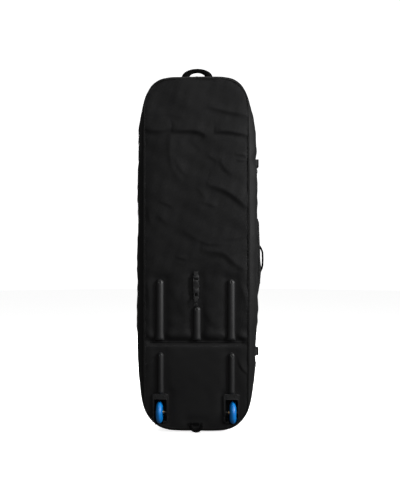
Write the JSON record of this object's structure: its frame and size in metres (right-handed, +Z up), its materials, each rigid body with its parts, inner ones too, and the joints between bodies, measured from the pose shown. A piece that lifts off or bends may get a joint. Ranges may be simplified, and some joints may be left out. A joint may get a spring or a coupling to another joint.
{
  "type": "wheeled snowboard bag",
  "caption": "Tall padded snowboard bag standing on its base, with back skid rails, wheels in moulded housings, a zipped lid, straps and handles.",
  "frame": {"origin": "centre of the flat face that the bag stands on", "axes": "+Z up along the bag's length, +X to the right seen from the wheel side, wheels towards -Y, zipped lid towards +Y"},
  "size_m": [0.52, 0.2764, 1.5],
  "materials": {
    "shell_fabric": "dark charcoal coated polyester weave",
    "piping_fabric": "black corded piping",
    "zip_tape": "black woven zip tape",
    "zip_coil": "black nylon coil",
    "zip_metal": "dark gunmetal",
    "rail_plastic": "satin charcoal plastic",
    "housing_plastic": "fine-textured charcoal plastic",
    "tyre_blue": "blue urethane",
    "core_plastic": "black nylon core",
    "bearing_steel": "ground steel",
    "axle_bronze": "bronze-coloured axle",
    "screw_steel": "black oxide steel",
    "board_plastic": "grey polyethylene sheet",
    "foam": "grey lined closed-cell foam",
    "webbing": "black flat-woven webbing",
    "grip_fabric": "black padded grip cover",
    "buckle_plastic": "charcoal acetal"
  },
  "bodies": {
    "bag": {"back_panel": "shell_fabric", "base_shell": "shell_fabric", "side_wall_right": "shell_fabric", "side_wall_left": "shell_fabric", "top_wall": "shell_fabric", "lid_hinge_cloth": "shell_fabric", "piping_back": "piping_fabric", "zip_tape_body": "zip_tape", "zip_coil_body": "zip_coil", "rail_upper_left": "rail_plastic", "rail_lower_left": "rail_plastic", "wheel_housing_left": "housing_plastic", "axle_left": "axle_bronze", "rail_upper_right": "rail_plastic", "rail_lower_right": "rail_plastic", "wheel_housing_right": "housing_plastic", "axle_right": "axle_bronze", "rail_centre": "rail_plastic", "rail_screws": "screw_steel", "housing_screws": "screw_steel", "stiffener_board": "board_plastic", "back_padding": "foam", "board_strap_lower": "webbing", "board_strap_upper": "webbing", "back_buckle_webbing": "webbing", "strap_clip_tabs": "webbing", "top_handle_anchors": "webbing", "side_handle_webbing": "webbing", "base_handle_anchors": "webbing", "back_buckle_female": "buckle_plastic", "strap_clip_female_upper": "buckle_plastic", "strap_clip_female_lower": "buckle_plastic"},
    "lid": {"lid_panel": "shell_fabric", "lid_rim_base": "shell_fabric", "lid_rim_right": "shell_fabric", "lid_rim_left": "shell_fabric", "lid_rim_top": "shell_fabric", "piping_lid": "piping_fabric", "zip_tape_lid": "zip_tape", "zip_coil_lid": "zip_coil", "lid_padding": "foam", "lid_strap_upper": "webbing", "lid_strap_lower": "webbing", "strap_clip_male_upper": "buckle_plastic", "strap_clip_male_lower": "buckle_plastic"},
    "slider_upper": {"zip_slider_upper": "zip_metal"},
    "slider_lower": {"zip_slider_lower": "zip_metal"},
    "pull_upper": {"zip_pull_upper": "zip_metal"},
    "pull_lower": {"zip_pull_lower": "zip_metal"},
    "wheel_left": {"tyre_left": "tyre_blue", "wheel_core_left": "core_plastic", "wheel_bearings_left": "bearing_steel"},
    "wheel_right": {"tyre_right": "tyre_blue", "wheel_core_right": "core_plastic", "wheel_bearings_right": "bearing_steel"},
    "back_buckle": {"back_buckle_male": "buckle_plastic"},
    "top_handle": {"top_handle_grip": "grip_fabric"},
    "side_handle": {"side_handle_loop": "webbing"},
    "base_handle": {"base_handle_loop": "webbing"}
  },
  "joints": [
    {"name": "lid_open", "type": "hinge", "parent": "bag", "child": "lid", "pos_m": [-0.246, 0.075, 0.7], "axis": [0, 0, 1], "range_deg": [0, 110]},
    {"name": "wheel_left_spin", "type": "hinge", "parent": "bag", "child": "wheel_left", "pos_m": [-0.1485, -0.105, 0.083], "axis": [1, 0, 0], "continuous": true},
    {"name": "wheel_right_spin", "type": "hinge", "parent": "bag", "child": "wheel_right", "pos_m": [0.1485, -0.105, 0.083], "axis": [1, 0, 0], "continuous": true},
    {"name": "slider_upper_slide", "type": "slide", "parent": "bag", "child": "slider_upper", "axis": [0, 0, 1], "range_m": [0, 0.3]},
    {"name": "slider_lower_slide", "type": "slide", "parent": "bag", "child": "slider_lower", "axis": [0, 0, -1], "range_m": [0, 0.2]},
    {"name": "pull_upper_swing", "type": "hinge", "parent": "slider_upper", "child": "pull_upper", "pos_m": [0.2536, 0.072, 0.642], "axis": [0, -1, 0], "range_deg": [0, 100]},
    {"name": "pull_lower_swing", "type": "hinge", "parent": "slider_lower", "child": "pull_lower", "pos_m": [0.2536, 0.072, 0.608], "axis": [0, -1, 0], "range_deg": [0, 100]},
    {"name": "back_buckle_release", "type": "slide", "parent": "bag", "child": "back_buckle", "axis": [0, 0, -1], "range_m": [0, 0.029]},
    {"name": "top_handle_swing", "type": "hinge", "parent": "bag", "child": "top_handle", "pos_m": [0, 0, 1.461], "axis": [1, 0, 0], "range_deg": [-30, 30], "stiffness_Nm_per_rad": 0.6},
    {"name": "side_handle_swing", "type": "hinge", "parent": "bag", "child": "side_handle", "pos_m": [0.252, 0, 0.7], "axis": [0, 0, 1], "range_deg": [-20, 20], "stiffness_Nm_per_rad": 0.4},
    {"name": "base_handle_swing", "type": "hinge", "parent": "bag", "child": "base_handle", "pos_m": [0, -0.1275, 0.034], "axis": [-1, 0, 0], "range_deg": [0, 90]}
  ]
}
